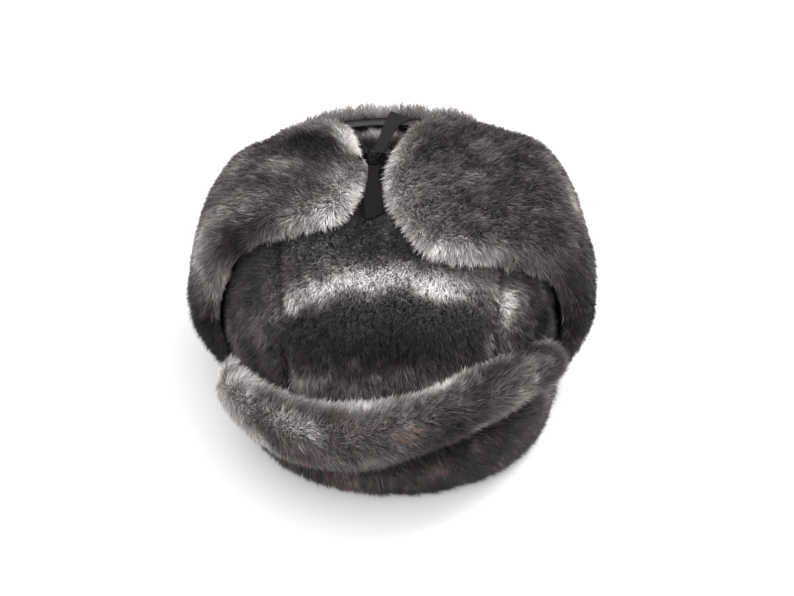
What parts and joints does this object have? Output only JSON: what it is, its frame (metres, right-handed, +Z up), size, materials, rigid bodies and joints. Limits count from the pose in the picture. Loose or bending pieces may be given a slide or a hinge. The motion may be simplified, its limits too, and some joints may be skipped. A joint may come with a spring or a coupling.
{
  "type": "fur ushanka hat",
  "caption": "Soft fur winter hat with a panelled crown, a turned-up visor and neck flap, and ear flaps folded over the crown and tied with a tape.",
  "frame": {"origin": "middle of the hat's footprint on the surface that it lies on", "axes": "+Z up through the crown, -Y towards the visor, +X towards the wearer's left"},
  "size_m": [0.2582, 0.2897, 0.1548],
  "materials": {
    "grey_fur": "dark grey short plush fur",
    "black_tape": "black woven tape"
  },
  "bodies": {
    "root": {"crown_center": "grey_fur", "crown_side_left": "grey_fur", "crown_side_right": "grey_fur", "ear_flap_left": "grey_fur", "ear_flap_right": "grey_fur", "neck_flap": "grey_fur", "front_visor": "grey_fur", "tie_knot": "black_tape", "tie_tail_front": "black_tape", "tie_tail_back": "black_tape"}
  },
  "joints": []
}
